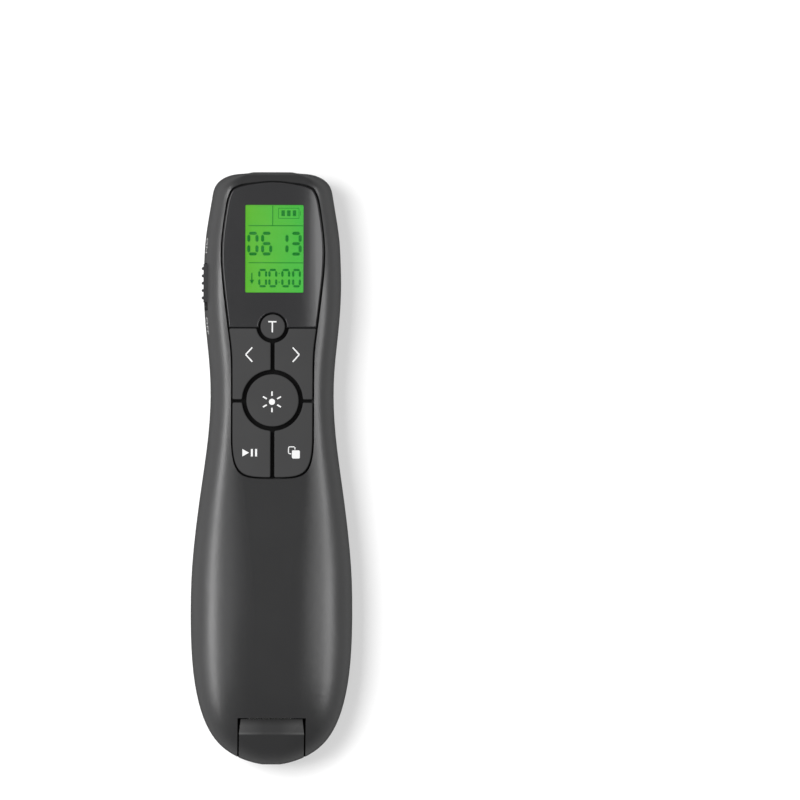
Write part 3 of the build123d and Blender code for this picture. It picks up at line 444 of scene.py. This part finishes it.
def piece(name, bm, material, body):
    """Turns a finished bmesh into an object that rides on a body."""
    bmesh.ops.recalc_face_normals(bm, faces=bm.faces)
    mesh = bpy.data.meshes.new(name)
    bm.to_mesh(mesh)
    bm.free()
    mesh.materials.append(material)
    made = bpy.data.objects.new(name, mesh)
    bpy.context.collection.objects.link(made)
    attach(made, body)
    return made


def surface_of(node):
    """A search tree of a CAD node's mesh, to find where a print lies on it."""
    solid = frame["nodes"][node].data
    return BVHTree.FromPolygons([v.co for v in solid.vertices], [p.vertices for p in solid.polygons])


def print_on(name, bm, node, body, paint=WHITE_INK, inward=DOWN):
    """Lays flat faces on a node's surface, looking inward, and gives them the ink's thickness."""
    surface = surface_of(node)
    for vertex in bm.verts:
        hit = surface.ray_cast(vertex.co - inward * SEARCH_REACH, inward)[0]
        vertex.co = hit + inward * INK_SUNK
    thicken(bm, -inward * (INK_SUNK + INK_PROUD))
    made = piece(name, bm, paint, body)


# ---- printed marks of the keys, in mm ----
MARK_STROKE = 0.33

# the timer key's T
T_MIDDLE, T_HALF, T_TOP, T_FOOT = -0.11, 1.01, 36.0, 33.4
bm = bmesh.new()
bar(bm, (T_MIDDLE - T_HALF, T_TOP), (T_MIDDLE + T_HALF, T_TOP), MARK_STROKE)
bar(bm, (T_MIDDLE, T_TOP - 0.1), (T_MIDDLE, T_FOOT), MARK_STROKE)
print_on("timer_letter", bm, "timer_key", "timer_button")

# the arrows of the back and next keys
ARROW_MIDDLE, ARROW_START, ARROW_TIP = -0.05, 4.95, 6.55
ARROW_TOP, ARROW_POINT, ARROW_FOOT = 29.7, 27.95, 26.2
for side, name in ((-1, "back"), (1, "next")):
    start, tip = ARROW_MIDDLE + side * ARROW_START, ARROW_MIDDLE + side * ARROW_TIP
    bm = bmesh.new()
    bar(bm, (start, ARROW_TOP), (tip, ARROW_POINT), MARK_STROKE)
    bar(bm, (tip, ARROW_POINT), (start, ARROW_FOOT), MARK_STROKE)
    print_on(f"{name}_arrow", bm, f"{name}_key", f"{name}_button")

# the laser key's sun: a dot with six rays
SUN_CENTRE, SUN_RADIUS = Vector((-0.15, 16.4)), 0.75
RAY_START, RAY_END, RAY_STROKE = 1.46, 2.55, 0.36
bm = bmesh.new()
disc(bm, SUN_CENTRE, SUN_RADIUS)
for turn in range(30, 360, 60):
    ray = Vector((cos(radians(turn)), sin(radians(turn))))
    bar(bm, SUN_CENTRE + ray * RAY_START, SUN_CENTRE + ray * RAY_END, RAY_STROKE)
print_on("laser_sun", bm, "laser_key", "laser_button")

# the play key's triangle and pause bars
PLAY_LEFT, PLAY_TIP, PLAY_TOP, PLAY_FOOT = -7.35, -5.72, 4.84, 3.02
PAUSE_MIDDLES, PAUSE_STROKE = (-5.03, -4.0), 0.48
bm = bmesh.new()
outline(bm, [(PLAY_LEFT, PLAY_TOP), (PLAY_LEFT, PLAY_FOOT), (PLAY_TIP, (PLAY_TOP + PLAY_FOOT) / 2)])
for middle in PAUSE_MIDDLES:
    bar(bm, (middle, PLAY_TOP), (middle, PLAY_FOOT), PAUSE_STROKE)
print_on("play_pause_mark", bm, "play_key", "play_button")

# the blank-screen key's mark: a square with cut corners, and the lines of a second one behind it
BACK_STROKE = 0.24
BACK_LINES = (
    ((3.93, 3.95), (3.93, 5.2)), ((4.13, 5.4), (5.32, 5.4)), ((5.52, 5.2), (5.52, 4.72)),
    ((4.13, 3.7), (4.62, 3.7)), ((3.9, 5.13), (4.2, 5.43)), ((5.25, 5.43), (5.55, 5.13)),
    ((3.9, 3.99), (4.2, 3.67)),
)
FRONT_SQUARE = ((4.97, 4.54), (4.77, 4.34), (4.77, 2.74), (4.97, 2.54),
                (6.5, 2.54), (6.7, 2.74), (6.7, 4.34), (6.5, 4.54))
bm = bmesh.new()
for start, end in BACK_LINES:
    bar(bm, start, end, BACK_STROKE)
outline(bm, FRONT_SQUARE)
print_on("blank_screen_mark", bm, "blank_key", "blank_button")

# ON and OFF beside the power slide, read from the left side; a capital is 0.73 of the lettering's size
WORD_MIDDLES = {"ON": 54.6, "OFF": 35.0}
WORD_HEIGHT, WORD_Z, CAPITAL = 1.8, 14.6, 0.73
LONGEST_EDGE = 0.6 * MM
ON_LEFT_SIDE = Matrix(((0, 0, -1, 0), (-1, 0, 0, 0), (0, 1, 0, 0), (0, 0, 0, 1)))
for word, middle in WORD_MIDDLES.items():
    letters = bpy.data.curves.new(word, "FONT")
    letters.body = word
    letters.size = WORD_HEIGHT / CAPITAL * MM
    letters.align_x, letters.align_y = "CENTER", "CENTER"
    letters.resolution_u = 3
    lettering = bpy.data.objects.new(word, letters)
    bpy.context.collection.objects.link(lettering)
    flat_word = bpy.data.meshes.new_from_object(lettering)
    bpy.data.objects.remove(lettering)
    bm = bmesh.new()
    bm.from_mesh(flat_word)
    in_place = Matrix.Translation((0, middle * MM, WORD_Z * MM)) @ ON_LEFT_SIDE
    bmesh.ops.transform(bm, verts=bm.verts, matrix=in_place)
    bmesh.ops.subdivide_edges(bm, edges=[e for e in bm.edges if e.calc_length() > LONGEST_EDGE], cuts=1)
    bmesh.ops.triangulate(bm, faces=bm.faces)
    print_on(f"word_{word.lower()}", bm, "upper_shell", "housing", GREY_INK, INTO_LEFT_SIDE)

# ---- what the display shows, in mm ----
# rules between its fields
RULE_LEFT, RULE_RIGHT, RULE_STROKE = -5.95, 7.4, 0.2
UPPER_RULE, LOWER_RULE, DIVIDER, FIELD_TOP = 59.5, 50.42, -0.05, 64.45
# battery gauge: a frame with a nub, and three bars
GAUGE_LEFT, GAUGE_RIGHT, GAUGE_TOP, GAUGE_BOTTOM, GAUGE_STROKE = 1.37, 6.37, 63.8, 61.3, 0.13
NUB_OUT, NUB_TOP, NUB_BOTTOM = 0.33, 63.1, 62.0
CHARGE_MIDDLES, CHARGE_TOP, CHARGE_BOTTOM, CHARGE_STROKE = (2.49, 3.87, 5.26), 63.27, 61.86, 0.84
# time of day and running time: the figures' left edges, their top, width, height and stroke
CLOCK = ((-6.27, "0"), (-2.9, "6"), (1.07, "1"), (4.3, "3"))
CLOCK_FORM = (58.03, 2.75, 5.82, 0.76)
COUNTER = ((-3.58, "0"), (-1.1, "0"), (2.06, "0"), (4.7, "0"))
COUNTER_FORM = (48.96, 2.2, 4.55, 0.56)
COLON_X, COLON_HEIGHTS, COLON_RADIUS = 1.57, (47.8, 45.7), 0.17
# arrow of the running time
POINTER_X, POINTER_TOP, POINTER_NECK, POINTER_STROKE = -5.13, 47.95, 45.9, 0.3
POINTER_HALF, POINTER_BARB, POINTER_TIP = 0.55, 46.25, 45.15
# how far the segments are sunk into the glass, and how thick they are
SEGMENT_SUNK, SEGMENT_THICK = 0.02 * MM, 0.05 * MM
SEGMENT_BARS = {"0": "abcdef", "1": "bc", "3": "abcdg", "6": "acdefg"}
# a bar's end stays this share of its stroke away from the corner
NICK_SHARE = 0.45


def digit(bm, figure, left, top, width, height, stroke):
    """A seven-segment figure, its bars cut to points where they meet."""
    right, bottom, middle = left + width, top - height, top - height / 2
    half, nick = stroke / 2, stroke * NICK_SHARE
    high, low = top - nick, bottom + nick
    ends = {
        "a": ((left, top - half), (right, top - half)),
        "b": ((right - half, high), (right - half, middle)),
        "c": ((right - half, middle), (right - half, low)),
        "d": ((left, bottom + half), (right, bottom + half)),
        "e": ((left + half, middle), (left + half, low)),
        "f": ((left + half, high), (left + half, middle)),
        "g": ((left, middle), (right, middle)),
    }
    for letter in SEGMENT_BARS[figure]:
        start, end = (Vector(point) for point in ends[letter])
        along = (end - start).normalized()
        aside = Vector((-along.y, along.x)) * half
        start, end = start + along * nick, end - along * nick
        taper = along * half
        outline(bm, [start, start + taper + aside, end - taper + aside, end, end - taper - aside,
                     start + taper - aside])


bm = bmesh.new()
for height in (UPPER_RULE, LOWER_RULE):
    bar(bm, (RULE_LEFT, height), (RULE_RIGHT, height), RULE_STROKE)
bar(bm, (DIVIDER, UPPER_RULE), (DIVIDER, FIELD_TOP), RULE_STROKE)
for height in (GAUGE_TOP, GAUGE_BOTTOM):
    bar(bm, (GAUGE_LEFT, height), (GAUGE_RIGHT, height), GAUGE_STROKE)
for across in (GAUGE_LEFT, GAUGE_RIGHT):
    bar(bm, (across, GAUGE_TOP), (across, GAUGE_BOTTOM), GAUGE_STROKE)
bar(bm, (GAUGE_RIGHT + NUB_OUT, NUB_TOP), (GAUGE_RIGHT + NUB_OUT, NUB_BOTTOM), GAUGE_STROKE)
for middle in CHARGE_MIDDLES:
    bar(bm, (middle, CHARGE_TOP), (middle, CHARGE_BOTTOM), CHARGE_STROKE)
for figures, form in ((CLOCK, CLOCK_FORM), (COUNTER, COUNTER_FORM)):
    for left, figure in figures:
        digit(bm, figure, left, *form)
for height in COLON_HEIGHTS:
    disc(bm, (COLON_X, height), COLON_RADIUS, segments=8)
bar(bm, (POINTER_X, POINTER_TOP), (POINTER_X, POINTER_NECK), POINTER_STROKE)
outline(bm, [(POINTER_X - POINTER_HALF, POINTER_BARB), (POINTER_X + POINTER_HALF, POINTER_BARB),
             (POINTER_X, POINTER_TIP)])
glass_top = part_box("lcd_glass")[1][2]
bmesh.ops.translate(bm, verts=bm.verts, vec=(0, 0, glass_top - SEGMENT_SUNK))
thicken(bm, (0, 0, SEGMENT_THICK))
piece("display_segments", bm, SEGMENTS, "housing")

# ---- floor ----
FLOOR_RADIUS = 4.0
# the share of plain white in what the eye, gloss and glass see of the floor; its shadow stays in the rest
BACKGROUND_LIFT = 0.5


def white_paper():
    """The floor's white paper."""
    material, tree, shader = finish("white_paper", Roughness=0.9)
    fibre = noise(tree, Scale=90.0, Detail=3.0)
    tree.links.new(blended(tree, fibre.outputs["Fac"], (0.94, 0.94, 0.94), (0.97, 0.97, 0.97)),
                   shader.inputs["Base Color"])
    rays = tree.nodes.new("ShaderNodeLightPath")
    seen = maths(tree, "MAXIMUM", rays.outputs["Is Camera Ray"], rays.outputs["Is Glossy Ray"])
    seen = maths(tree, "MAXIMUM", seen, rays.outputs["Is Transmission Ray"])
    white = put(tree, "ShaderNodeEmission", Strength=1.0)
    mix = tree.nodes.new("ShaderNodeMixShader")
    tree.links.new(maths(tree, "MULTIPLY", seen, BACKGROUND_LIFT), mix.inputs["Fac"])
    tree.links.new(shader.outputs["BSDF"], mix.inputs[1])
    tree.links.new(white.outputs["Emission"], mix.inputs[2])
    tree.links.new(mix.outputs["Shader"], tree.nodes["Material Output"].inputs["Surface"])
    return material


bm = bmesh.new()
bmesh.ops.create_circle(bm, cap_ends=True, radius=FLOOR_RADIUS, segments=64)
floor_mesh = bpy.data.meshes.new("floor")
bm.to_mesh(floor_mesh)
bm.free()
floor_mesh.materials.append(white_paper())
floor = bpy.data.objects.new("floor", floor_mesh)
bpy.context.collection.objects.link(floor)

# ---- world and lamps ----
AMBIENT = 0.4
AIM_HEIGHT = 10 * MM

world = bpy.data.worlds.new("studio")
bpy.context.scene.world = world
world.use_nodes = True
fill_in(world.node_tree.nodes["Background"], {"Color": (1, 1, 1, 1), "Strength": AMBIENT})


def group_of(name, nodes):
    """A named collection of CAD nodes, for lamps that shine on these alone."""
    made = bpy.data.collections.new(name)
    for node in nodes:
        made.objects.link(frame["nodes"][node])
    return made


def softbox(name, place, size, power, shines_on=None):
    """A rectangular lamp that faces the object, for light without highlights or for highlights on a group."""
    lamp = bpy.data.lights.new(name, "AREA")
    lamp.shape = "RECTANGLE"
    lamp.size, lamp.size_y = size
    lamp.energy = power
    made = bpy.data.objects.new(name, lamp)
    made.location = place
    aim = Vector((0, place[1], AIM_HEIGHT)) - Vector(place)
    made.rotation_euler = aim.to_track_quat("-Z", "Y").to_euler()
    made.visible_diffuse = not shines_on
    made.visible_glossy = bool(shines_on)
    bpy.context.collection.objects.link(made)
    if shines_on:
        made.light_linking.receiver_collection = shines_on


# the long strips at the sides shine on the housing alone, as flags keep them off the cover and the keys
housing_pieces = group_of("housing_pieces", [node for node, slot in SLOT_OF.items() if slot == "shell"])
softbox("left_strip", (-0.9, -0.02, 0.2), (0.9, 0.2), 18.0, housing_pieces)
softbox("left_fill", (-0.85, -0.02, 0.5), (0.9, 0.3), 3.2, housing_pieces)
softbox("left_top", (-0.75, -0.02, 0.85), (0.9, 0.25), 3.2, housing_pieces)
softbox("right_strip", (0.9, -0.02, 0.28), (0.9, 0.28), 14.0, housing_pieces)
softbox("right_fill", (0.8, -0.02, 0.6), (0.9, 0.35), 7.0, housing_pieces)
softbox("right_top", (0.6, -0.02, 0.85), (0.9, 0.3), 3.4, housing_pieces)
# the cover has its own two, a sharp one on its right side and a broad faint one
cover_pieces = group_of("cover_pieces", ["display_bezel"])
softbox("cover_right", (0.34, -0.02, 1.05), (0.9, 0.13), 2.4, cover_pieces)
softbox("cover_left", (-0.75, -0.02, 0.8), (0.9, 0.3), 6.0, cover_pieces)
# this one lights everything, and leaves no highlight
softbox("key_box", (-0.55, 0.2, 1.3), (0.6, 0.6), 26.0)
